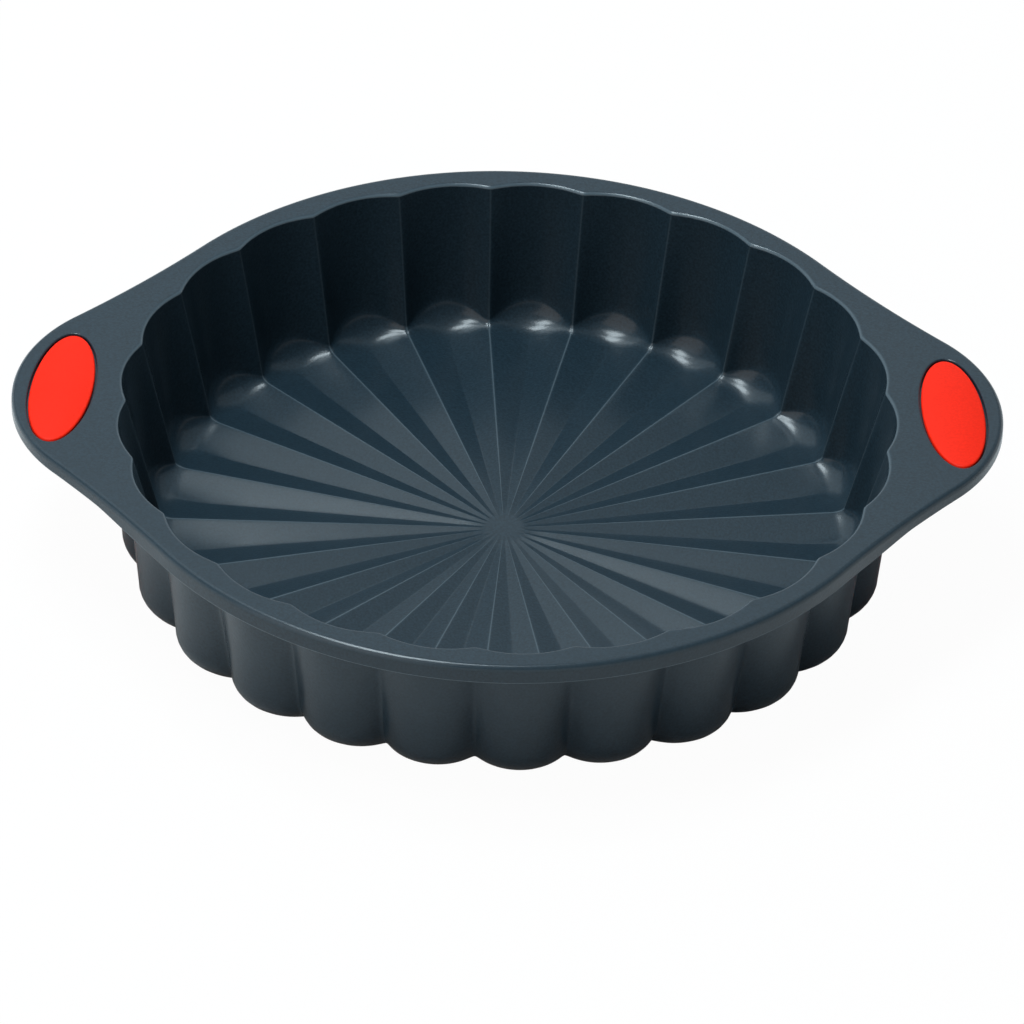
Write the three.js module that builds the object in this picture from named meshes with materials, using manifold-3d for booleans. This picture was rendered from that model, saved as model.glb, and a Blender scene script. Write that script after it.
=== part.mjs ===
// A fluted silicone charlotte mould with a pleated floor, a stiffened rim and a grip in each ear.
// Millimetres, +Z up. The mould stands on its foot ring at z = 0, with its ears along X.
import * as THREE from 'three';
import { mergeVertices } from 'three/addons/utils/BufferGeometryUtils.js';
import Module from 'manifold-3d';

// Bowl: the flutes bulge outwards and meet in cusps that point inwards.
const fluteCount = 25;
const height = 52;
const crownRadiusTop = 119;
const fluteDepthTop = 2.6;
const crownTaper = 8.2;
const fluteDepthBase = 8.2;
const rimWall = 2.4;
const baseWall = 6;
const cavityDepth = 45.5;
const floorThickness = 2.2;
const pleatDepth = 3.2;
const centreDiscRadius = 7;
const insideCornerRadius = 9;
const baseEdgeRadius = 12;
const footWidth = 5;
const footStepDraft = 1.5;

// Rim: a flat flange that widens into two thinner ears, which sit a little behind the middle.
const rimWidth = 7.5;
const rimThickness = 6;
const rimTopRound = 1.6;
const rimLowerChamfer = 0.4;
const lipRound = 0.9;
const earThickness = 4.6;
const earStepRun = 6;
const earTipRadius = 52;
const earBlendRadius = 420;
const earBorder = 5.7;
const earTurnDegrees = 2.1;

// Grips: oval buttons through the ears, with a crowned head above and below a thin web.
const gripLength = 54;
const gripWidth = 19;
const gripSetback = 0.4;
const gripTiltDegrees = 3.6;
const gripWeb = 1.4;
const gripCrown = 1;
const gripEdgeRound = 0.8;
const gripWaistInset = 3.2;

// Hoop: a ring of steel wire in the rim, held up on pins while the silicone was moulded round it.
const wireDiameter = 2.4;
const pinCount = 8;
const pinDiameter = 1.8;

// Gap between two pieces that touch.
const clearance = 0.3;

// Fineness of the round faces, and how far a cut runs past the face that it opens.
const stepsPerFlute = 6;
const wideArcSteps = 4;
const smallArcSteps = 2;
const wireSides = 8;
const wireStepsPerFlute = 3;
const gripSides = 40;
const gripDomeSteps = 3;
const pinSides = 12;
const cutMargin = 2;
const sameCorner = 1e-4;

const silicone = new THREE.MeshStandardMaterial({ color: 0x39434b, roughness: 0.55, metalness: 0 });
const redSilicone = new THREE.MeshStandardMaterial({ color: 0xf53a22, roughness: 0.45, metalness: 0 });
const steel = new THREE.MeshStandardMaterial({ color: 0xb4b6b8, roughness: 0.35, metalness: 1 });

const fluteAngle = (2 * Math.PI) / fluteCount;
const cuspRadiusTop = crownRadiusTop - fluteDepthTop;
const crownRadiusBase = crownRadiusTop - crownTaper;
const cuspRadiusBase = crownRadiusBase - fluteDepthBase;
const floorTop = height - cavityDepth;
const rimUnderside = height - rimThickness;
const rimRadius = crownRadiusTop + rimWidth;
const hoopRadius = crownRadiusTop + rimWidth / 2;
const hoopHeight = height - rimThickness / 2;
const gripCentre = rimRadius + gripSetback + gripWidth / 2;
const earUnderside = height - earThickness;
const gripHeadDepth = (earThickness - gripWeb) / 2;
const webBottom = earUnderside + gripHeadDepth;
const webTop = height - gripHeadDepth;

const wasm = await Module();
wasm.setup();

// A closed solid from a geometry, with its shared corners merged and its collapsed faces left out.
function solidOf(geometry) {
  geometry.deleteAttribute('normal');
  geometry.deleteAttribute('uv');
  const merged = mergeVertices(geometry, sameCorner);
  const corners = merged.index.array;
  const triangles = [];
  for (let start = 0; start < corners.length; start += 3) {
    const [a, b, c] = corners.slice(start, start + 3);
    if (a !== b && b !== c && c !== a) {
      triangles.push(a, b, c);
    }
  }
  const vertProperties = new Float32Array(merged.attributes.position.array);
  const triVerts = new Uint32Array(triangles);
  return new wasm.Manifold(new wasm.Mesh({ numProp: 3, vertProperties, triVerts }));
}

function meshOf(name, solid, material) {
  const { vertProperties, triVerts } = solid.getMesh();
  const geometry = new THREE.BufferGeometry();
  geometry.setAttribute('position', new THREE.BufferAttribute(new Float32Array(vertProperties), 3));
  geometry.setIndex(new THREE.BufferAttribute(new Uint32Array(triVerts), 1));
  geometry.computeVertexNormals();
  const mesh = new THREE.Mesh(geometry, material);
  mesh.name = name;
  return mesh;
}

// A lathe about Z whose every profile point has a radius and a level that change with the angle.
function warpedLathe(profile, segments) {
  const firstSection = profile.map((point) => new THREE.Vector2(...point(0)));
  const geometry = new THREE.LatheGeometry(firstSection, segments);
  const corners = geometry.attributes.position;
  for (let index = 0; index < corners.count; index += 1) {
    const angle = (2 * Math.PI * Math.floor(index / profile.length)) / segments;
    const [radius, level] = profile[index % profile.length](angle);
    corners.setXYZ(index, radius * Math.cos(angle), radius * Math.sin(angle), level);
  }
  return geometry;
}

// Equal angles from nothing to a quarter turn, for the rounded edges of a profile.
function quarterTurn(steps) {
  return Array.from({ length: steps + 1 }, (_, step) => (step * Math.PI) / (2 * steps));
}

// Angle from the crown of the nearest flute; one cusp points along -X.
function angleFromCrown(angle) {
  const flutes = (angle - Math.PI) / fluteAngle;
  return (flutes - Math.floor(flutes) - 0.5) * fluteAngle;
}

// Across a flute the wall is a circular arc through two cusps and the crown between them.
function scallop(angle, cuspRadius, crownRadius) {
  const halfChord = cuspRadius * Math.sin(fluteAngle / 2);
  const bulge = crownRadius - cuspRadius * Math.cos(fluteAngle / 2);
  const arcRadius = (halfChord ** 2 + bulge ** 2) / (2 * bulge);
  const arcCentre = crownRadius - arcRadius;
  const turn = angleFromCrown(angle);
  return arcCentre * Math.cos(turn) + Math.sqrt(arcRadius ** 2 - (arcCentre * Math.sin(turn)) ** 2);
}

// The walls lean outwards, and the flutes are deeper at the base than at the rim.
function innerWall(angle, level) {
  const share = level / height;
  const cuspRadius = THREE.MathUtils.lerp(cuspRadiusBase, cuspRadiusTop, share);
  const crownRadius = THREE.MathUtils.lerp(crownRadiusBase, crownRadiusTop, share);
  return scallop(angle, cuspRadius, crownRadius);
}

// Outside they lean less, because the wall is thicker towards the base.
function outerWall(angle, level) {
  return innerWall(angle, level) + THREE.MathUtils.lerp(baseWall, rimWall, level / height);
}

// The floor is folded into straight pleats: a ridge runs to each cusp and a valley to each crown.
function floorLevel(angle, radius) {
  const fold = 1 - Math.abs(angleFromCrown(angle)) / (fluteAngle / 2);
  const share = (radius - centreDiscRadius) / (cuspRadiusBase - centreDiscRadius);
  return floorTop - pleatDepth * fold * share;
}

// The rim is a circle with two round ears, each joined to it by a hollow arc on either side.
const earTurn = THREE.MathUtils.degToRad(earTurnDegrees);
const earCentre = gripCentre + gripWidth / 2 + earBorder - earTipRadius;
const blendDistance = rimRadius + earBlendRadius;
const tipDistance = earTipRadius + earBlendRadius;
const blendTurn = Math.acos(
  (blendDistance ** 2 + earCentre ** 2 - tipDistance ** 2) / (2 * earCentre * blendDistance),
);
const tipShare = earTipRadius / tipDistance;
const tipTurn = Math.atan2(
  tipShare * blendDistance * Math.sin(blendTurn),
  THREE.MathUtils.lerp(earCentre, blendDistance * Math.cos(blendTurn), tipShare),
);

function outline(angle) {
  const earAxis = Math.cos(angle) < 0 ? Math.PI - earTurn : earTurn;
  const turn = Math.acos(Math.min(1, Math.cos(angle - earAxis)));
  if (turn >= blendTurn) {
    return rimRadius;
  }
  if (turn > tipTurn) {
    const swing = blendTurn - turn;
    const hollow = Math.sqrt(earBlendRadius ** 2 - (blendDistance * Math.sin(swing)) ** 2);
    return blendDistance * Math.cos(swing) - hollow;
  }
  return earCentre * Math.cos(turn) + Math.sqrt(earTipRadius ** 2 - (earCentre * Math.sin(turn)) ** 2);
}

// The rim's underside steps up to the thinner ears over a short run.
function edgeUnderside(angle) {
  const share = THREE.MathUtils.smoothstep(outline(angle), rimRadius, rimRadius + earStepRun);
  return THREE.MathUtils.lerp(rimUnderside, earUnderside, share);
}

// Below: the pleated floor from its middle out, then the foot ring that the mould stands on.
function footOuter(angle) {
  return outerWall(angle, baseEdgeRadius) - baseEdgeRadius;
}

function underside() {
  const pleatEnd = (angle) => footOuter(angle) - footWidth - footStepDraft;
  return [
    () => [0, floorTop - floorThickness],
    () => [centreDiscRadius, floorTop - floorThickness],
    (angle) => [pleatEnd(angle), floorLevel(angle, pleatEnd(angle)) - floorThickness],
    (angle) => [footOuter(angle) - footWidth, 0],
  ];
}

// Outside: the rounded base edge, the fluted wall, then the underside, edge and top of the rim.
function outside() {
  const baseEdge = quarterTurn(wideArcSteps).map((bend) => (angle) => [
    footOuter(angle) + baseEdgeRadius * Math.sin(bend),
    baseEdgeRadius * (1 - Math.cos(bend)),
  ]);
  const rimTop = quarterTurn(smallArcSteps).map((bend) => (angle) => [
    outline(angle) - rimTopRound * (1 - Math.cos(bend)),
    height - rimTopRound * (1 - Math.sin(bend)),
  ]);
  return [
    ...baseEdge,
    (angle) => [outerWall(angle, rimUnderside), rimUnderside],
    () => [rimRadius - rimLowerChamfer, rimUnderside],
    (angle) => [Math.min(rimRadius + earStepRun, outline(angle)) - rimLowerChamfer, edgeUnderside(angle)],
    (angle) => [outline(angle) - rimLowerChamfer, edgeUnderside(angle)],
    (angle) => [outline(angle), edgeUnderside(angle) + rimLowerChamfer],
    ...rimTop,
  ];
}

// Inside: the rounded lip, the fluted wall, the hollow corner at its foot, and the floor to its middle.
function inside() {
  const lip = quarterTurn(smallArcSteps).map((bend) => (angle) => {
    const level = height - lipRound * (1 - Math.cos(bend));
    return [innerWall(angle, level) + lipRound * (1 - Math.sin(bend)), level];
  });
  const corner = quarterTurn(wideArcSteps).reverse().map((bend) => (angle) => {
    const floorEdge = innerWall(angle, floorTop) - insideCornerRadius;
    const level = floorLevel(angle, floorEdge) + insideCornerRadius * (1 - Math.cos(bend));
    return [innerWall(angle, level) - insideCornerRadius * (1 - Math.sin(bend)), level];
  });
  return [
    ...lip,
    ...corner,
    () => [centreDiscRadius, floorTop],
    () => [0, floorTop],
  ];
}

// A ring of round wire; grown by the clearance it is the channel that the wire lies in.
function hoopRing(growth) {
  const radius = wireDiameter / 2 + growth;
  const profile = Array.from({ length: wireSides + 1 }, (_, side) => {
    const turn = (2 * Math.PI * side) / wireSides;
    return () => [hoopRadius + radius * Math.cos(turn), hoopHeight + radius * Math.sin(turn)];
  });
  return solidOf(warpedLathe(profile, fluteCount * wireStepsPerFlute));
}

// A hole that one of the pins left in the rim's underside, up to the wire.
function pinHole(index) {
  const bottom = rimUnderside - cutMargin;
  const angle = (2 * Math.PI * (index + 0.5)) / pinCount;
  const hole = new THREE.CylinderGeometry(pinDiameter / 2, pinDiameter / 2, hoopHeight - bottom, pinSides);
  hole.rotateX(Math.PI / 2);
  hole.translate(hoopRadius * Math.cos(angle), hoopRadius * Math.sin(angle), (bottom + hoopHeight) / 2);
  return solidOf(hole);
}

// An oval solid from points that lie so far inside the grip's edge, at such a level.
// A point half the grip's width inside the edge is on the axis.
function ovalLathe(points) {
  const profile = points.map(([inset, level]) => (angle) => {
    const across = Math.cos(angle) / (gripWidth / 2 - inset);
    const along = Math.sin(angle) / (gripLength / 2 - inset);
    return [1 / Math.hypot(across, along), level];
  });
  return solidOf(warpedLathe(profile, gripSides));
}

const gripAxis = gripWidth / 2;

// The outer face of a head, from its rounded edge over its crown; outwards is 1 for up and -1 for down.
function headFace(level, outwards) {
  const edge = quarterTurn(smallArcSteps).map((bend) => [
    gripEdgeRound * (1 - Math.cos(bend)),
    level - outwards * gripEdgeRound * (1 - Math.sin(bend)),
  ]);
  const dome = Array.from({ length: gripDomeSteps }, (_, step) => {
    const share = (step + 1) / gripDomeSteps;
    const rise = gripCrown * (1 - (1 - share) ** 2);
    return [THREE.MathUtils.lerp(gripEdgeRound, gripAxis, share), level + outwards * rise];
  });
  return [...edge, ...dome];
}

function gripPlug() {
  return ovalLathe([
    ...headFace(earUnderside, -1).reverse(),
    [0, webBottom - clearance],
    [gripWaistInset, webBottom - clearance],
    [gripWaistInset, webTop + clearance],
    [0, webTop + clearance],
    ...headFace(height, 1),
  ]);
}

function gripPocket() {
  const below = earUnderside - cutMargin;
  const above = height + cutMargin;
  return ovalLathe([
    [gripAxis, below],
    [-clearance, below],
    [-clearance, webBottom],
    [gripWaistInset - clearance, webBottom],
    [gripWaistInset - clearance, webTop],
    [-clearance, webTop],
    [-clearance, above],
    [gripAxis, above],
  ]);
}

// Puts an oval solid in the right ear (side 1) or the left ear (side -1).
function inEar(solid, side) {
  const tilted = solid.rotate([0, 0, side * gripTiltDegrees]).translate([side * gripCentre, 0, 0]);
  return tilted.rotate([0, 0, side * earTurnDegrees]);
}

function mouldBody() {
  const shell = warpedLathe([...underside(), ...outside(), ...inside()], fluteCount * stepsPerFlute);
  let body = solidOf(shell).subtract(hoopRing(clearance));
  for (let index = 0; index < pinCount; index += 1) {
    body = body.subtract(pinHole(index));
  }
  return body.subtract(inEar(gripPocket(), 1)).subtract(inEar(gripPocket(), -1));
}

const mould = new THREE.Group();
mould.add(meshOf('mould_body', mouldBody(), silicone));
mould.add(meshOf('rim_hoop', hoopRing(0), steel));
mould.add(meshOf('grip_left', inEar(gripPlug(), -1), redSilicone));
mould.add(meshOf('grip_right', inEar(gripPlug(), 1), redSilicone));

export default mould;
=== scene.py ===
# %% [markdown]
# A fluted silicone cake mould, dressed over its solid model.
#
# The solid model gives four pieces in metres, standing on z = 0: the silicone body, the steel hoop
# hidden in its rim, and a red grip in each ear. They arrive with few, flat faces. This lesson works
# out the visible surfaces again as numpy grids, fine enough for rounded edges, and paints them.

import bpy
import bmesh
import numpy as np
from mathutils import Matrix, Vector


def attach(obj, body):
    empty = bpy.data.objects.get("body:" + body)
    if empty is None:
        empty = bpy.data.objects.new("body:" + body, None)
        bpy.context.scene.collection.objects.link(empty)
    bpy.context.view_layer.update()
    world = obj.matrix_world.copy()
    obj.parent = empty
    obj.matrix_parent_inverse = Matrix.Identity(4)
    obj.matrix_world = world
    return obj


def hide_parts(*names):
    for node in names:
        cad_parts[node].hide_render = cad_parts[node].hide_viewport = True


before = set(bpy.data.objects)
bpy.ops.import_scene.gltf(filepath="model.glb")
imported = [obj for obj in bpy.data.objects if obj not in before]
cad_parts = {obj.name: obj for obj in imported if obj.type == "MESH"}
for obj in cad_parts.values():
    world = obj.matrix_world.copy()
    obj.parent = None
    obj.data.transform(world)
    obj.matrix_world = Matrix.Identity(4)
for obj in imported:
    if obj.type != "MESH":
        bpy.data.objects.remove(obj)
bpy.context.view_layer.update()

# %% [markdown]
# The mould was designed around a few sizes, and all surfaces below follow from them. The bowl has
# 25 flutes. They are shallow at the rim and deep at the base, which is why the wall looks like a row
# of half pipes at the foot but only like a wavy line at the lip.

# %% Sizes of the bowl, in metres
MM = 0.001
flute_count = 25
height = 52 * MM
crown_radius_top = 119 * MM
flute_depth_top = 2.6 * MM
crown_taper = 8.2 * MM
flute_depth_base = 8.2 * MM
rim_wall = 2.4 * MM
base_wall = 6 * MM
cavity_depth = 45.5 * MM
floor_thickness = 2.2 * MM
pleat_depth = 3.2 * MM
centre_disc_radius = 7 * MM
centre_disc_slope = 1.5 * MM
crown_corner_radius = 9.5 * MM
cusp_corner_radius = 1.6 * MM
base_edge_radius = 12 * MM
foot_width = 5 * MM
foot_step_draft = 1.5 * MM

flute_angle = 2 * np.pi / flute_count
cusp_radius_top = crown_radius_top - flute_depth_top
crown_radius_base = crown_radius_top - crown_taper
cusp_radius_base = crown_radius_base - flute_depth_base
floor_top = height - cavity_depth
print("flutes", flute_count, "each", round(np.degrees(flute_angle), 1), "degrees")

# %% Sizes of the rim, its ears and their grips
rim_width = 7.5 * MM
rim_thickness = 6 * MM
rim_top_round = 1.6 * MM
rim_lower_round = 0.5 * MM
lip_round = 0.9 * MM
ear_thickness = 4.6 * MM
ear_step_run = 6 * MM
ear_tip_radius = 52 * MM
ear_blend_radius = 420 * MM
ear_border = 5.7 * MM
ear_turn = np.radians(2.1)

grip_length = 54 * MM
grip_width = 19 * MM
grip_setback = 0.4 * MM
grip_tilt = np.radians(3.6)
grip_web = 1.4 * MM
grip_crown = 1 * MM
grip_edge_round = 0.8 * MM
grip_waist_inset = 3.2 * MM
clearance = 0.3 * MM

rim_radius = crown_radius_top + rim_width
rim_underside = height - rim_thickness
ear_underside = height - ear_thickness
grip_centre = rim_radius + grip_setback + grip_width / 2
ear_tip = grip_centre + grip_width / 2 + ear_border
print("rim", round(2 * rim_radius, 3), "m across, ear tips", round(2 * ear_tip, 3), "m apart")

# %% [markdown]
# Every surface of the bowl is a function of two parameters: the angle about the middle, and a
# station along the section. The angles are not evenly spaced. The shape has a sharp fold at every
# cusp and every crown, so the samples crowd together there, as the dots of a drawn half circle do
# when it is looked at from the side.

# %% Angles that crowd at the folds
steps_per_half_flute = 18
share_along_half = (1 - np.cos(np.pi * np.arange(steps_per_half_flute) / steps_per_half_flute)) / 2
half_flute_starts = np.arange(2 * flute_count)[:, None]
angles = (np.pi + (half_flute_starts + share_along_half) * flute_angle / 2).ravel()
print("angles round the bowl", angles.size)


def share_from_crown(angle):
    """Distance from the crown of the nearest flute, from 0 at the crown to 1 at the cusp."""
    flutes = (angle - np.pi) / flute_angle
    return np.abs(flutes - np.floor(flutes) - 0.5) * 2


# %% [markdown]
# Across one flute the wall is a circular arc through two cusps and the crown between them. Moulded
# silicone has no knife edges, so near a cusp the distance to it is replaced by the long side of a
# right triangle whose short side is a small rounding: far away nothing changes, and at the cusp the
# two arcs run into each other in a smooth nose.

# %% The fluted wall
cusp_rounding = 0.06


def scallop(angle, cusp_radius, crown_radius, inset):
    """Seen from the middle, an arc through both cusps and the crown, drawn smaller by the inset."""
    half_chord = cusp_radius * np.sin(flute_angle / 2)
    bulge = crown_radius - cusp_radius * np.cos(flute_angle / 2)
    arc_radius = (half_chord**2 + bulge**2) / (2 * bulge)
    arc_centre = crown_radius - arc_radius
    from_cusp = np.hypot(1 - share_from_crown(angle), cusp_rounding)
    turn = (1 - from_cusp) * flute_angle / 2
    side = arc_centre * np.sin(turn)
    return arc_centre * np.cos(turn) + np.sqrt((arc_radius - inset) ** 2 - side**2)


def inner_wall(angle, level, inset=0):
    """Cusps and crowns both lean outwards in straight lines from the base to the rim."""
    share = level / height
    cusp_radius = cusp_radius_base + (cusp_radius_top - cusp_radius_base) * share
    crown_radius = crown_radius_base + (crown_radius_top - crown_radius_base) * share
    return scallop(angle, cusp_radius, crown_radius, inset)


def outer_wall(angle, level):
    """The inner wall moved outwards by the silicone, which thickens from the rim to the base."""
    return inner_wall(angle, level) + base_wall + (rim_wall - base_wall) * level / height


# %% [markdown]
# The floor is folded like a fan: a ridge runs from the middle to each cusp, and a valley to each
# crown. A zigzag in the angle gives the folds. Its depth grows evenly with the way outwards, so the
# pleats are equally steep everywhere, and a small flat disc covers the point where they meet. The
# corners of the zigzag get the same right-triangle rounding as the cusps. Near the wall the valleys
# open into smooth hollows, because each flute ends in a round foot.

# %% The pleated floor
fold_rounding = 0.02
foot_rounding = 0.35
valley_end = 101 * MM
valley_fade = 5 * MM


def fold(angle, valley_rounding):
    """A rounded zigzag: about 1 in the valley at the crown, about 0 on the ridge at the cusp."""
    share = share_from_crown(angle)
    valley = np.hypot(share, valley_rounding) - np.hypot(1, valley_rounding) + 1
    return share - valley + np.hypot(1 - share, fold_rounding)


def floor_level(angle, radius):
    """Falls below the flat disc by the fold times the pleat depth times the way from the middle."""
    opening = np.clip(1 - (valley_end - radius) / valley_fade, 0, 1)
    rounding = fold_rounding + (foot_rounding - fold_rounding) * opening**2
    return floor_top - pleat_depth * fold(angle, rounding) * radius / cusp_radius_base


def corner_radius(angle):
    """Wide at the crowns and tight at the cusps, falling between them as a rounded slope."""
    slope = np.hypot(share_from_crown(angle), foot_rounding) - foot_rounding
    full_slope = np.hypot(1, foot_rounding) - foot_rounding
    return crown_corner_radius - (crown_corner_radius - cusp_corner_radius) * slope / full_slope


# %% [markdown]
# From above, the rim is a circle with two ears. Each ear is a round arc, joined to the circle by a
# hollow arc on either side, so that nothing has a corner. Seen from the middle, each of the three
# arcs is the long root of the same triangle: a centre at some distance and a radius.

# %% The outline of the rim
ear_centre = ear_tip - ear_tip_radius
blend_distance = rim_radius + ear_blend_radius
tip_distance = ear_tip_radius + ear_blend_radius
blend_turn = np.arccos(
    (blend_distance**2 + ear_centre**2 - tip_distance**2) / (2 * ear_centre * blend_distance)
)
tip_share = ear_tip_radius / tip_distance
tip_turn = np.arctan2(
    tip_share * blend_distance * np.sin(blend_turn),
    ear_centre + (blend_distance * np.cos(blend_turn) - ear_centre) * tip_share,
)


def turn_from_ear(angle):
    """Angle from the axis of the nearer ear; both ears are turned a little towards the back."""
    ear_axis = np.where(np.cos(angle) < 0, np.pi - ear_turn, ear_turn)
    return np.arccos(np.clip(np.cos(angle - ear_axis), -1, 1))


def outline(angle):
    """Radius of the rim's edge: circle, hollow arc or ear arc, by the angle from the ear's axis."""
    turn = turn_from_ear(angle)
    swing = np.clip(blend_turn - turn, 0, blend_turn - tip_turn)
    hollow = blend_distance * np.cos(swing) - np.sqrt(
        ear_blend_radius**2 - (blend_distance * np.sin(swing)) ** 2
    )
    tip_side = np.minimum(turn, tip_turn)
    tip = ear_centre * np.cos(tip_side) + np.sqrt(
        ear_tip_radius**2 - (ear_centre * np.sin(tip_side)) ** 2
    )
    return np.where(turn >= blend_turn, rim_radius, np.where(turn > tip_turn, hollow, tip))


def underside_level(radius):
    """The rim's underside steps up to the thinner ears along an S-shaped curve."""
    share = np.clip((radius - rim_radius) / ear_step_run, 0, 1)
    return rim_underside + (ear_underside - rim_underside) * share**2 * (3 - 2 * share)


edge = outline(angles)
print("outline from", round(edge.min(), 4), "to", round(edge.max(), 4))

# %% [markdown]
# The section of the body is a list of stations. Each station is a ring: a radius and a level for
# every angle. Between the flat faces lie quarter rounds, and beside each round lies one more ring,
# close by, that keeps the flat face flat when it is smoothly shaded.

# %% What a ring is
flat_margin = 0.3 * MM
floor_rings = 12
floor_crowding = 1.3
underside_rings = 6
corner_steps = 12
wall_rings = 8
round_steps = 6
base_steps = 10


def quarter_turn(steps):
    """Equal angles from nothing to a quarter turn."""
    return np.linspace(0, np.pi / 2, steps + 1)


def ring(radius, level):
    """Points at that radius and level, for every angle."""
    radius, level = np.broadcast_arrays(radius, level)
    radius = np.broadcast_to(radius, angles.shape)
    level = np.broadcast_to(level, angles.shape)
    return np.stack([radius * np.cos(angles), radius * np.sin(angles), level], axis=1)


# %% [markdown]
# The inside is the face that shapes the cake. In the steel tool it is one core, so its rings run
# without a break from the middle of the floor over the lip. On the floor they crowd towards the
# middle, where the pleats are narrow.

# %% Rings of the inside


def inside_rings():
    """From the middle of the floor, up the wall and over the lip, to the end of the round rim."""
    corner = corner_radius(angles)
    floor_edge = inner_wall(angles, floor_top, corner)
    edge_level = floor_level(angles, floor_edge)
    rings = [ring(0, floor_top), ring(centre_disc_radius - centre_disc_slope, floor_top)]
    for share in np.linspace(0, 1, floor_rings)[:-1] ** floor_crowding:
        radius = centre_disc_radius + (floor_edge - centre_disc_radius) * share
        rings.append(ring(radius, floor_level(angles, radius)))
    for bend in quarter_turn(corner_steps):
        level = edge_level + corner * (1 - np.cos(bend))
        rings.append(ring(inner_wall(angles, level, corner * (1 - np.sin(bend))), level))
    wall_foot = edge_level + corner
    for share in np.linspace(0, 1, wall_rings)[1:]:
        level = wall_foot + (height - lip_round - flat_margin - wall_foot) * share
        rings.append(ring(inner_wall(angles, level), level))
    for bend in quarter_turn(round_steps)[::-1]:
        level = height - lip_round * (1 - np.cos(bend))
        rings.append(ring(inner_wall(angles, level) + lip_round * (1 - np.sin(bend)), level))
    lip_end = inner_wall(angles, height) + lip_round
    rim_end = rim_radius - rim_top_round
    for radius in (lip_end + flat_margin, (lip_end + rim_end) / 2, rim_end - flat_margin, rim_end):
        rings.append(ring(radius, height))
    return np.array(rings)


# %% [markdown]
# The edge of the rim is where a hand takes hold. It has a generous round above and a tight one
# below, where the two halves of the tool would meet. The outside repeats the flutes, and ends in a
# foot ring that the mould stands on.

# %% Rings of the edge and of the outside


def edge_rings():
    """Round the edge of the rim and the ears, from the top face to the underside."""
    under = underside_level(edge)
    rings = []
    for bend in quarter_turn(round_steps):
        fall = rim_top_round * (1 - np.cos(bend))
        rings.append(ring(edge - rim_top_round * (1 - np.sin(bend)), height - fall))
    rings.append(ring(edge, height - rim_top_round - flat_margin))
    rings.append(ring(edge, under + rim_lower_round + flat_margin))
    for bend in quarter_turn(round_steps):
        rise = rim_lower_round * (1 - np.sin(bend))
        rings.append(ring(edge - rim_lower_round * (1 - np.cos(bend)), under + rise))
    return np.array(rings)


def outside_rings():
    """Under the rim, down the outer wall, round the foot and over the pleats to the middle."""
    rim_end = rim_radius - rim_lower_round
    wall_end = outer_wall(angles, rim_underside)
    rings = [ring(rim_end, rim_underside), ring(rim_end - flat_margin, rim_underside)]
    rings.append(ring(wall_end + flat_margin, rim_underside))
    for share in np.linspace(0, 1, wall_rings):
        level = rim_underside + (base_edge_radius - rim_underside) * share
        rings.append(ring(outer_wall(angles, level), level))
    foot_outer = outer_wall(angles, base_edge_radius) - base_edge_radius
    for bend in quarter_turn(base_steps)[::-1][1:]:
        level = base_edge_radius * (1 - np.cos(bend))
        rings.append(ring(foot_outer + base_edge_radius * np.sin(bend), level))
    for inset in (flat_margin, foot_width - flat_margin, foot_width):
        rings.append(ring(foot_outer - inset, 0))
    pleat_end = foot_outer - foot_width - foot_step_draft
    for share in np.linspace(1, 0, underside_rings):
        radius = centre_disc_radius + (pleat_end - centre_disc_radius) * share
        rings.append(ring(radius, floor_level(angles, radius) - floor_thickness))
    rings.append(ring(0, floor_top - floor_thickness))
    return np.array(rings)


inside, rim_edge, outside = inside_rings(), edge_rings(), outside_rings()
print("rings: inside", len(inside), "edge", len(rim_edge), "outside", len(outside))

# %% [markdown]
# The mould's edges are a little lighter than its faces, as a painted highlight for the thin light
# lines that small rounds catch. Each point gets a share of this painted highlight: along the ridges
# of the floor and the cusps of the wall, along the lip, and along both edges of the rim.

# %% Painted highlight along the edges
ridge_half_width = 0.22 * MM
ridge_half_share = 0.012
least_half_width = 0.001 * MM
floor_highlight = 0.65
wall_highlight = 0.25
upper_edge_highlight = 0.25


def hump(level, low, high):
    """A parabola over a range of levels: 1 in its middle, 0 at its ends and outside it."""
    return np.clip(1 - ((level - (low + high) / 2) / ((high - low) / 2)) ** 2, 0, 1)


def inside_highlight(rings):
    """Painted highlight, fading as a bell curve away from the ridge or cusp, and full on the lip."""
    radius, level = np.hypot(rings[..., 0], rings[..., 1]), rings[..., 2]
    share_of_flute = ridge_half_share * radius * flute_angle
    width = np.minimum(ridge_half_width, share_of_flute) + least_half_width
    distance = (1 - share_from_crown(angles)) * radius * flute_angle / 2
    strength = np.where(level > floor_top + cusp_corner_radius, wall_highlight, floor_highlight)
    on_ridge = (radius > centre_disc_radius - flat_margin / 2) & (level < height - lip_round)
    ridge = strength * np.exp(-((distance / width) ** 2)) * on_ridge
    return np.maximum(ridge, hump(level, height - lip_round, height))


def rim_edge_highlight(rings):
    """Painted highlight: slight on the round upper rim edge and full on the narrow lower one."""
    under = underside_level(edge)
    upper = hump(rings[..., 2], height - rim_top_round, height)
    lower = hump(rings[..., 2], under, under + rim_lower_round)
    return np.maximum(upper_edge_highlight * upper, lower)


highlight_shares = [inside_highlight(inside), rim_edge_highlight(rim_edge)]
print("worn points", [int((share > 0.5).sum()) for share in highlight_shares])

# %% [markdown]
# An ear is a plate with an oval hole, which rings about the bowl's middle would cut across. So only
# its two wings are filled with straight rows from the round rim to the edge. The block between the
# wings gets rings of its own: the first follows the border of the block, the next ones close in on
# the oval, then they go down the pocket, round the thin web in it, out of the pocket below and back
# to the border under the ear. At the borders all grids use the same points, so they can be welded.
# The gap round the grip is a little wider than in the solids, so that it shows as a dark line.

# %% The plate of an ear
pocket_block_turn = np.radians(14.5)
plate_columns = 25
across_shares = np.linspace(0, 1, plate_columns)


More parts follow.
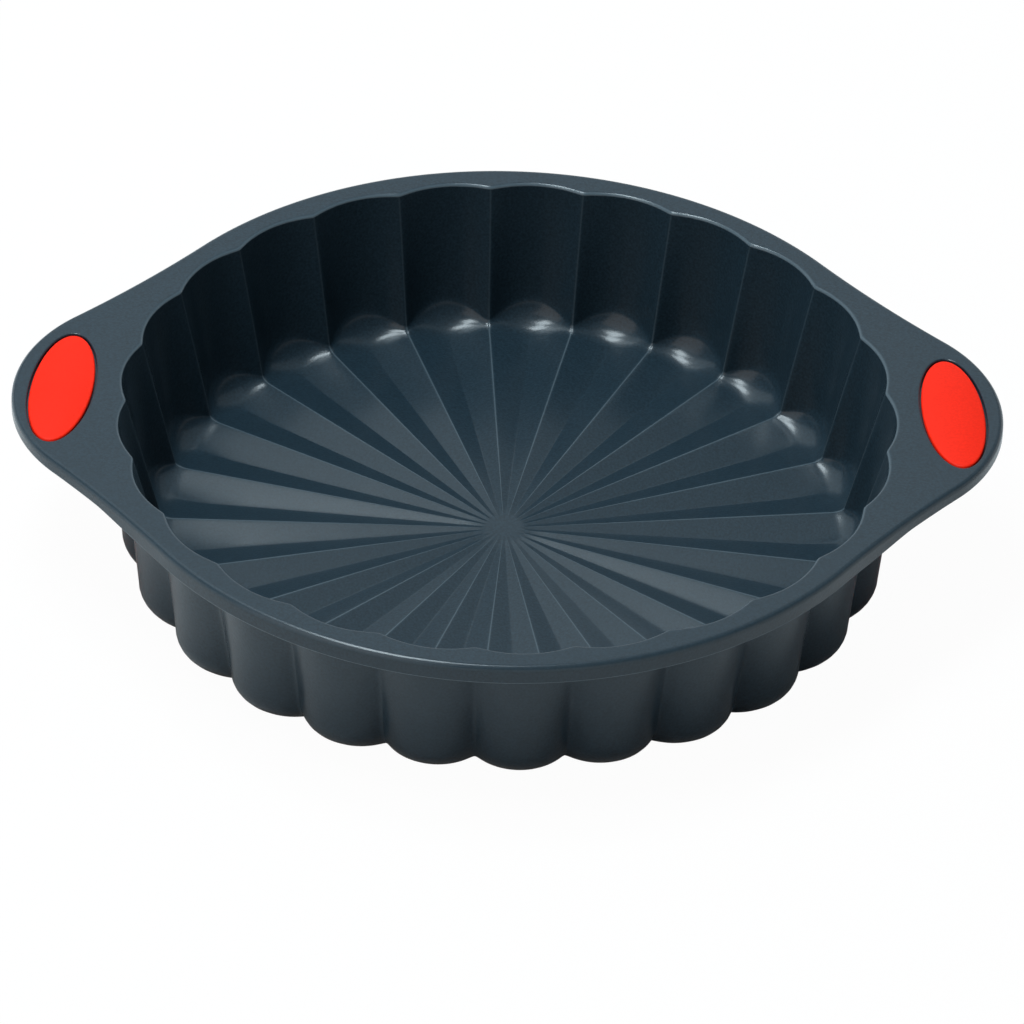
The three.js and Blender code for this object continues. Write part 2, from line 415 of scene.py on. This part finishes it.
def ear_indices(side):
    """Angles of the bowl that lie on this ear, with one more at either end, in rising order."""
    own = (turn_from_ear(angles) < blend_turn) & (side * np.cos(angles) > 0)
    shift = np.flatnonzero(~own)[0]
    on_ear = np.flatnonzero(np.roll(own, -shift)) + shift
    return np.arange(on_ear[0] - 1, on_ear[-1] + 2) % angles.size


def plate_rows(index, inner, outer):
    """At each angle a straight row of points from the inner ring to the outer one."""
    reach = outer[index] - inner[index]
    return inner[index][:, None] + reach[:, None] * across_shares[:, None]


def ear_plates(side):
    """Rows of the top face, and of the underside with its step up from the rim."""
    index = ear_indices(side)
    top = plate_rows(index, inside[-1], rim_edge[0])
    below = plate_rows(index, outside[0], rim_edge[-1])
    below[..., 2] = underside_level(np.hypot(below[..., 0], below[..., 1]) + rim_lower_round)
    block = np.flatnonzero(turn_from_ear(angles[index]) <= pocket_block_turn)
    return top, below, block[0], block[-1]


def border(rows, first, last):
    """Once round the block between two rows: along the rim, out, along the edge, and in again."""
    along_rim = rows[first : last + 1, 0]
    along_edge = rows[first : last + 1, -1][::-1]
    return np.concatenate([along_rim, rows[last, 1:-1], along_edge, rows[first, -2:0:-1]])


# %% The oval pocket in an ear
pocket_edge_round = 0.5 * MM
pocket_gap = 0.55 * MM
head_depth = (ear_thickness - grip_web) / 2
web_bottom = ear_underside + head_depth
web_top = height - head_depth
closing_in = np.array([0, 0.1, 0.35, 0.65, 0.9])


def place_in_ear(across, along, side):
    """Turns a point about the grip's middle by its tilt, moves it out and turns it with the ear."""
    tilted_x = across * np.cos(grip_tilt) - along * np.sin(grip_tilt) + grip_centre
    tilted_y = across * np.sin(grip_tilt) + along * np.cos(grip_tilt)
    x = tilted_x * np.cos(ear_turn) - tilted_y * np.sin(ear_turn)
    y = tilted_x * np.sin(ear_turn) + tilted_y * np.cos(ear_turn)
    return np.stack([side * x, y], axis=-1)


def oval(turn, inset):
    """An ellipse that lies that far inside the grip's edge: half axes times cosine and sine."""
    return (grip_width / 2 - inset) * np.cos(turn), (grip_length / 2 - inset) * np.sin(turn)


def at_level(plan, level):
    """Plan points lifted to that level."""
    return np.column_stack([plan, np.broadcast_to(level, len(plan))])


def oval_turn(plan, side):
    """The ellipse's own angle that faces each plan point, seen from the grip's middle."""
    bearing = (plan - place_in_ear(0.0, 0.0, side)) * (side, 1)
    lean = ear_turn + grip_tilt
    across = bearing[:, 0] * np.cos(lean) + bearing[:, 1] * np.sin(lean)
    along = bearing[:, 1] * np.cos(lean) - bearing[:, 0] * np.sin(lean)
    return np.arctan2(along / grip_length, across / grip_width)


def pocket_rings(top, below, side):
    """From the border over the top face, through the pocket, and back to the border underneath."""
    turn = oval_turn(top[:, :2], side)
    outset = pocket_gap + pocket_edge_round * (1 - np.sin(quarter_turn(round_steps)))
    drop = pocket_edge_round * (1 - np.cos(quarter_turn(round_steps)))
    mouths = [place_in_ear(*oval(turn, -distance), side) for distance in outset]
    unders = [underside_level(np.hypot(*plan.T) + rim_lower_round) for plan in mouths]
    waist = place_in_ear(*oval(turn, grip_waist_inset - clearance), side)
    rings = [top + (at_level(mouths[0], height) - top) * share for share in closing_in]
    rings += [at_level(plan, height - fall) for plan, fall in zip(mouths, drop)]
    rings += [at_level(mouths[-1], web_top), at_level(waist, web_top)]
    rings += [at_level(waist, web_bottom), at_level(mouths[-1], web_bottom)]
    lower = [at_level(plan, under + rise) for plan, under, rise in zip(mouths, unders, drop)]
    rings += lower[::-1]
    for share in closing_in[:0:-1]:
        plan = below[:, :2] + (mouths[0] - below[:, :2]) * share
        rings.append(at_level(plan, underside_level(np.hypot(*plan.T) + rim_lower_round)))
    return np.array(rings + [below])


# %% [markdown]
# Now the grids become one mesh, as the silicone is one moulding. Neighbouring points of neighbouring
# rows make a face. The grids meet point on point, so welding the doubles closes the skin. It does so
# in the middle of the floor too, where a whole ring falls on one point.

# %% Grids of an ear


def closed(rings):
    """Repeats the first point of each ring at its end."""
    return np.concatenate([rings, rings[:, :1]], axis=1)


def ear_grids(side):
    """The two wings above and below, and the block with the pocket."""
    top, below, first, last = ear_plates(side)
    wings = [rows[part] for rows in (top, below) for part in (slice(first + 1), slice(last, None))]
    block = pocket_rings(border(top, first, last), border(below, first, last), side)
    return [*wings, closed(block)]


# %% One welded piece
weld_distance = 0.002 * MM
sharp_from = np.radians(40)


def grid_faces(shape, first_point):
    """Four corners for each cell of a grid of that many rows and columns."""
    here = np.arange(shape[0] * shape[1]).reshape(shape[:2]) + first_point
    cells = [here[:-1, :-1], here[:-1, 1:], here[1:, 1:], here[1:, :-1]]
    return np.stack(cells, axis=-1).reshape(-1, 4)


def closed_piece(name, grids, shares=()):
    """One welded mesh of grids, smooth but for real edges. The first carry painted highlight."""
    points = np.concatenate([grid.reshape(-1, 3) for grid in grids])
    first_points = np.cumsum([0] + [grid.shape[0] * grid.shape[1] for grid in grids])
    cells = [grid_faces(grid.shape, first) for grid, first in zip(grids, first_points)]
    mesh = bpy.data.meshes.new(name)
    mesh.from_pydata(points, [], np.concatenate(cells))
    # Each point's share of painted highlight, which the slate material turns into a paler colour.
    painted_highlight = np.zeros(len(points), np.float32)
    for share, first in zip(shares, first_points):
        painted_highlight[first : first + share.size] = share.ravel()
    mesh.attributes.new("painted_highlight", "FLOAT", "POINT").data.foreach_set("value", painted_highlight)
    skin = bmesh.new()
    skin.from_mesh(mesh)
    bmesh.ops.remove_doubles(skin, verts=skin.verts, dist=weld_distance)
    bmesh.ops.dissolve_degenerate(skin, edges=skin.edges, dist=weld_distance)
    bmesh.ops.recalc_face_normals(skin, faces=skin.faces)
    open_edges = sum(not line.is_manifold for line in skin.edges)
    triangles = sum(len(face.verts) - 2 for face in skin.faces)
    skin.to_mesh(mesh)
    skin.free()
    mesh.polygons.foreach_set("use_smooth", np.ones(len(mesh.polygons), bool))
    mesh.set_sharp_from_angle(angle=sharp_from)
    piece = bpy.data.objects.new(name, mesh)
    bpy.context.scene.collection.objects.link(piece)
    print(name, triangles, "triangles,", open_edges, "open edges")
    return piece


# %% The silicone body
bowl_grids = [closed(rings) for rings in (inside, rim_edge, outside)]
# Painted highlight shares of the inside and the rim's edge, with each ring's first point repeated.
bowl_highlight = [np.concatenate([share, share[:, :1]], axis=1) for share in highlight_shares]
body = closed_piece("silicone_body", [*bowl_grids, *ear_grids(-1), *ear_grids(1)], bowl_highlight)
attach(body, "root")
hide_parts("mould_body")

# %% [markdown]
# A grip is an oval button of red silicone, which could be moulded through the finished ear in a
# second shot. Its two heads are gently crowned and have a round edge, and its narrow waist sits in
# the hole of the web, so that it can't fall out. Rings of ovals give all of it in one grid.

# %% The grips
grip_points = 160
dome_rings = 14
grip_turns = np.linspace(0, 2 * np.pi, grip_points, endpoint=False)
dome_shares = np.linspace(0, 1, dome_rings + 1)[1:]


def head_rings(level, outwards):
    """Across, along and level of each ring of a head: a round edge, then a crown as a parabola."""
    rings = []
    for bend in quarter_turn(round_steps):
        fall = grip_edge_round * (1 - np.sin(bend))
        edge_oval = oval(grip_turns, grip_edge_round * (1 - np.cos(bend)))
        rings.append((*edge_oval, level - outwards * fall))
    across, along = oval(grip_turns, grip_edge_round)
    for share in dome_shares:
        rise = grip_crown * (1 - (1 - share) ** 2)
        rings.append((across * (1 - share), along * (1 - share), level + outwards * rise))
    return rings


def grip_grid(side):
    """Lower head from its middle outwards, then the waist, then the upper head to its middle."""
    rings = head_rings(ear_underside, -1)[::-1]
    lower_seat, upper_seat = web_bottom - clearance, web_top + clearance
    waist_stations = [(0, lower_seat), (grip_waist_inset, lower_seat)]
    waist_stations += [(grip_waist_inset, upper_seat), (0, upper_seat)]
    rings += [(*oval(grip_turns, inset), level) for inset, level in waist_stations]
    rings += head_rings(height, 1)
    return closed(np.array([at_level(place_in_ear(x, y, side), level) for x, y, level in rings]))


grips = {}
for grip_name, grip_side in (("left", -1), ("right", 1)):
    grips[grip_name] = closed_piece(f"red_grip_{grip_name}", [grip_grid(grip_side)])
    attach(grips[grip_name], "root")
    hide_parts(f"grip_{grip_name}")

# %% [markdown]
# Nothing on the real mould is printed or painted: its colours are pigments in the silicone, and
# what varies is fine and even. So the finishes are noise on the object's own coordinates, which
# needs no picture and no unwrapping, and a painted highlight along the edges that the mesh carries.
# A few small helpers add the nodes that the finishes share.

# %% Nodes for the finishes
noise_low, noise_high = 0.3, 0.7
# The paler slate of the painted highlight along the edges.
highlight_slate = (0.085, 0.12, 0.145)


def new_material(name):
    """A material with a Principled shader on its output, and the parts of its node tree."""
    material = bpy.data.materials.new(name)
    material.use_nodes = True
    nodes = material.node_tree.nodes
    return material, nodes, material.node_tree.links, nodes["Principled BSDF"]


def noise_of(nodes, links, scale, detail):
    """Noise on object coordinates, with that many grains to the metre."""
    place = nodes.new("ShaderNodeTexCoord")
    noise = nodes.new("ShaderNodeTexNoise")
    noise.inputs["Scale"].default_value = scale
    noise.inputs["Detail"].default_value = detail
    links.new(place.outputs["Object"], noise.inputs["Vector"])
    return noise.outputs["Fac"]


def colour_between(nodes, links, noise, low, high):
    """Colours from low to high over the middle part of a noise, where most of its values lie."""
    ramp = nodes.new("ShaderNodeValToRGB")
    ramp.color_ramp.elements[0].position = noise_low
    ramp.color_ramp.elements[1].position = noise_high
    ramp.color_ramp.elements[0].color = (*low, 1)
    ramp.color_ramp.elements[1].color = (*high, 1)
    links.new(noise, ramp.inputs["Fac"])
    return ramp.outputs["Color"]


def number_between(nodes, links, source, low, high, start=noise_low, end=noise_high):
    """Runs evenly from low to high while the source runs from start to end."""
    spread = nodes.new("ShaderNodeMapRange")
    spread.inputs["From Min"].default_value = start
    spread.inputs["From Max"].default_value = end
    spread.inputs["To Min"].default_value = low
    spread.inputs["To Max"].default_value = high
    links.new(source, spread.inputs["Value"])
    return spread.outputs["Result"]


def bumped(nodes, links, source, depth):
    """Pushes the shaded surface in and out by that depth in metres."""
    bump = nodes.new("ShaderNodeBump")
    bump.inputs["Strength"].default_value = 1
    bump.inputs["Distance"].default_value = depth
    links.new(source, bump.inputs["Height"])
    return bump.outputs["Normal"]


def lighter_where_highlighted(nodes, links, colour):
    """Painted highlight: mixes a colour with a paler one by the share that the mesh carries."""
    painted_highlight = nodes.new("ShaderNodeAttribute")
    painted_highlight.attribute_name = "painted_highlight"
    mix = nodes.new("ShaderNodeMix")
    mix.data_type = "RGBA"
    links.new(painted_highlight.outputs["Fac"], mix.inputs["Factor"])
    links.new(colour, mix.inputs["A"])
    mix.inputs["B"].default_value = (*highlight_slate, 1)
    return mix.outputs["Result"]


# %% [markdown]
# Silicone for baking is matt, but not dead: it has a faint satin shine and a very fine grain from
# the etched steel tool. Noise of two sizes gives the grain, as a small bump and as a slight
# unevenness of colour and shine. The body also has a thin skin that is smoother than the silicone
# below it. It gives narrow bright bars in the round feet over a wide soft sheen. One roughness alone
# can't do that, so the skin is a coat with a roughness of its own.

# %% Finish: silicone
silicone_ior = 1.41
skin_roughness = 0.2
grain_scale = 1300
cloud_scale = 60
shine_spread = 0.03


def moulded_silicone(name, low, high, roughness, gloss, skin, grain_depth):
    """Satin silicone between two colours, with a fine grain and a thin smoother skin."""
    material, nodes, links, shader = new_material(name)
    grain = noise_of(nodes, links, scale=grain_scale, detail=3)
    cloud = noise_of(nodes, links, scale=cloud_scale, detail=2)
    colour = colour_between(nodes, links, grain, low, high)
    # The base colour is lighter along the edges by the painted highlight that the mesh carries.
    links.new(lighter_where_highlighted(nodes, links, colour), shader.inputs["Base Color"])
    matt, smooth = roughness + shine_spread, roughness - shine_spread
    links.new(number_between(nodes, links, cloud, smooth, matt), shader.inputs["Roughness"])
    links.new(bumped(nodes, links, grain, grain_depth), shader.inputs["Normal"])
    shader.inputs["IOR"].default_value = silicone_ior
    shader.inputs["Specular IOR Level"].default_value = gloss
    shader.inputs["Coat Weight"].default_value = skin
    shader.inputs["Coat Roughness"].default_value = skin_roughness
    shader.inputs["Coat IOR"].default_value = silicone_ior
    return material


slate = moulded_silicone(
    "slate_silicone",
    low=(0.0085, 0.0188, 0.0275),
    high=(0.0140, 0.0312, 0.0460),
    roughness=0.5,
    gloss=0.18,
    skin=0.74,
    grain_depth=0.08 * MM,
)
red = moulded_silicone(
    "red_silicone",
    low=(0.88, 0.017, 0.004),
    high=(0.97, 0.023, 0.006),
    roughness=0.45,
    gloss=0.14,
    skin=0,
    grain_depth=0.02 * MM,
)
body.data.materials.append(slate)
for grip in grips.values():
    grip.data.materials.append(red)
print("painted", body.name, "and", [grip.name for grip in grips.values()])

# %% [markdown]
# The hoop is plain drawn wire that would be laid in the tool before the silicone. Inside the rim
# nobody sees it, so its solid is kept as it is and only gets a drawn-steel finish. The small holes
# that its pins would leave under the rim are only in the solid model.

# %% Finish: the steel hoop
streak_scale = 900
steel_smooth, steel_rough = 0.28, 0.42
steel_dark, steel_pale = (0.5, 0.51, 0.52), (0.6, 0.61, 0.62)


def drawn_steel():
    """Grey metal whose shine and tint change with a fine noise, as on wire pulled through a die."""
    material, nodes, links, shader = new_material("drawn_steel")
    streaks = noise_of(nodes, links, scale=streak_scale, detail=2)
    shine = number_between(nodes, links, streaks, steel_smooth, steel_rough)
    links.new(shine, shader.inputs["Roughness"])
    tint = colour_between(nodes, links, streaks, steel_dark, steel_pale)
    links.new(tint, shader.inputs["Base Color"])
    shader.inputs["Metallic"].default_value = 1
    return material


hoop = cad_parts["rim_hoop"]
hoop.data.materials.clear()
hoop.data.materials.append(drawn_steel())
print("painted", hoop.name)

# %% [markdown]
# The studio is a white table in front of a white backdrop, under a dim ceiling. The camera sees the
# table as plain white with a little of its real shading, so that the mould stands on a soft shadow,
# as in a product picture. Reflections and soft light on the mould come from the shaded board.

# %% The table
table_half = 6.0
table_white = 0.82
table_roughness = 0.9
shadow_kept = 0.03


def table_finish():
    """White board, mixed for the camera with a plain white glow, but for a share of its shadows."""
    material, nodes, links, shader = new_material("white_board")
    shader.inputs["Base Color"].default_value = (table_white, table_white, table_white, 1)
    shader.inputs["Roughness"].default_value = table_roughness
    glow = nodes.new("ShaderNodeEmission")
    path = nodes.new("ShaderNodeLightPath")
    share = nodes.new("ShaderNodeMath")
    share.operation = "MULTIPLY"
    share.inputs[1].default_value = 1 - shadow_kept
    links.new(path.outputs["Is Camera Ray"], share.inputs[0])
    mix = nodes.new("ShaderNodeMixShader")
    links.new(share.outputs["Value"], mix.inputs["Fac"])
    links.new(shader.outputs["BSDF"], mix.inputs[1])
    links.new(glow.outputs["Emission"], mix.inputs[2])
    links.new(mix.outputs["Shader"], nodes["Material Output"].inputs["Surface"])
    return material


def white_table():
    """A large flat square under the mould."""
    mesh = bpy.data.meshes.new("table")
    corners = np.array([(-1, -1, 0), (1, -1, 0), (1, 1, 0), (-1, 1, 0)]) * table_half
    mesh.from_pydata(corners, [], [(0, 1, 2, 3)])
    mesh.materials.append(table_finish())
    table = bpy.data.objects.new("table", mesh)
    bpy.context.scene.collection.objects.link(table)
    return table


table = white_table()
print("table", table.name)

# %% [markdown]
# The backdrop is part of the sky: a white band near the horizon. It is white to the camera and in
# reflections, but only dim as a light, so that the lamps below decide which pleats are bright.

# %% The sky
sky_strength = 0.06
backdrop_low, backdrop_high = 0.15, 0.35


def combined(nodes, links, operation, first, second):
    """One number from two, by that operation."""
    node = nodes.new("ShaderNodeMath")
    node.operation = operation
    links.new(first, node.inputs[0])
    links.new(second, node.inputs[1])
    return node.outputs["Value"]


def seen_or_mirrored(nodes, links):
    """1 for rays from the camera, off gloss or through glass, and 0 for the rest."""
    rays = nodes.new("ShaderNodeLightPath").outputs
    seen = combined(nodes, links, "MAXIMUM", rays["Is Camera Ray"], rays["Is Glossy Ray"])
    return combined(nodes, links, "MAXIMUM", seen, rays["Is Transmission Ray"])


def backdrop_share(nodes, links):
    """1 near the horizon, falling to 0 higher up, by the upward part of the ray's direction."""
    place = nodes.new("ShaderNodeTexCoord")
    parts = nodes.new("ShaderNodeSeparateXYZ")
    links.new(place.outputs["Generated"], parts.inputs["Vector"])
    return number_between(nodes, links, parts.outputs["Z"], 1, 0, backdrop_low, backdrop_high)


def studio_sky():
    """White where the backdrop is seen or mirrored, and a dim soft light elsewhere."""
    world = bpy.data.worlds.new("sky")
    world.use_nodes = True
    nodes, links = world.node_tree.nodes, world.node_tree.links
    seen, backdrop = seen_or_mirrored(nodes, links), backdrop_share(nodes, links)
    white = combined(nodes, links, "MULTIPLY", seen, backdrop)
    strength = number_between(nodes, links, white, sky_strength, 1, start=0, end=1)
    nodes["Background"].inputs["Color"].default_value = (1, 1, 1, 1)
    links.new(strength, nodes["Background"].inputs["Strength"])
    bpy.context.scene.world = world
    return world


sky = studio_sky()
print("sky", sky.name)

# %% [markdown]
# The feet of the flutes are small round mirrors, and in the photograph each shows two bright bars.
# They are the images of two small soft boxes high on the left. Larger boxes on the left and behind
# make the pleats that face them light and leave the others dark. The one at the front left is a
# little warmer than the rest, because the outer wall is a more neutral grey than the floor.

# %% Lamps
bowl_middle = Vector((0, 0, height / 2))
lamp_distance = 1.6
daylight = (0.81, 0.94, 1.0)
lamplight = (1.0, 0.92, 0.86)


def soft_box(name, bearing, elevation, size, power, colour=daylight):
    """A square lamp that faces the bowl; its bearing is counted from the right ear to the back."""
    light = bpy.data.lights.new(name, "AREA")
    light.size = size
    light.energy = power
    light.color = colour
    turn, climb = np.radians(bearing), np.radians(elevation)
    outwards = Vector((np.cos(turn) * np.cos(climb), np.sin(turn) * np.cos(climb), np.sin(climb)))
    lamp = bpy.data.objects.new(name, light)
    lamp.location = bowl_middle + outwards * lamp_distance
    lamp.rotation_euler = outwards.to_track_quat("Z", "Y").to_euler()
    bpy.context.scene.collection.objects.link(lamp)
    return lamp


lamps = [
    soft_box("high_back_box", bearing=126, elevation=74, size=0.42, power=12.5),
    soft_box("high_left_box", bearing=197, elevation=73, size=0.42, power=12.5),
    soft_box("back_left_box", bearing=137, elevation=48, size=1.2, power=5),
    soft_box("front_left_box", bearing=226, elevation=36, size=1.3, power=6.3, colour=lamplight),
    soft_box("back_right_box", bearing=45, elevation=48, size=1.3, power=2.5),
    soft_box("back_box", bearing=90, elevation=33, size=0.9, power=2.1),
]
print("lamps", [lamp.name for lamp in lamps])

# %% [markdown]
# The photograph was taken from the front with a long lens, looking down at about 37 degrees, with
# the camera rolled by less than two degrees. The frame's middle lies a little below and to the right
# of the rim's middle.

# %% Camera
view_elevation = np.radians(36.958)
view_roll = np.radians(1.687)
view_distance = 2.8592
lens = 329.45
aim_right = 1.39 * MM
aim_down = 31.15 * MM


def photo_camera():
    """Looks from the view's elevation and distance at a point beside the rim's middle."""
    rim_middle = Vector((0, 0, height))
    back = Vector((0, -np.cos(view_elevation), np.sin(view_elevation)))
    level_right = Vector((1, 0, 0))
    level_up = back.cross(level_right)
    right = level_right * np.cos(view_roll) + level_up * np.sin(view_roll)
    up = back.cross(right)
    place = rim_middle + back * view_distance
    aim = rim_middle + right * aim_right - up * aim_down
    turned_back = (place - aim).normalized()
    turned_right = up.cross(turned_back).normalized()
    turned_up = turned_back.cross(turned_right)
    data = bpy.data.cameras.new("camera")
    data.lens = lens
    camera = bpy.data.objects.new("camera", data)
    axes = Matrix((turned_right, turned_up, turned_back)).transposed()
    camera.matrix_world = Matrix.Translation(place) @ axes.to_4x4()
    bpy.context.scene.collection.objects.link(camera)
    bpy.context.scene.camera = camera
    return camera


camera = photo_camera()
bpy.context.scene.view_settings.view_transform = "Standard"
print("camera at", [round(value, 3) for value in camera.location])
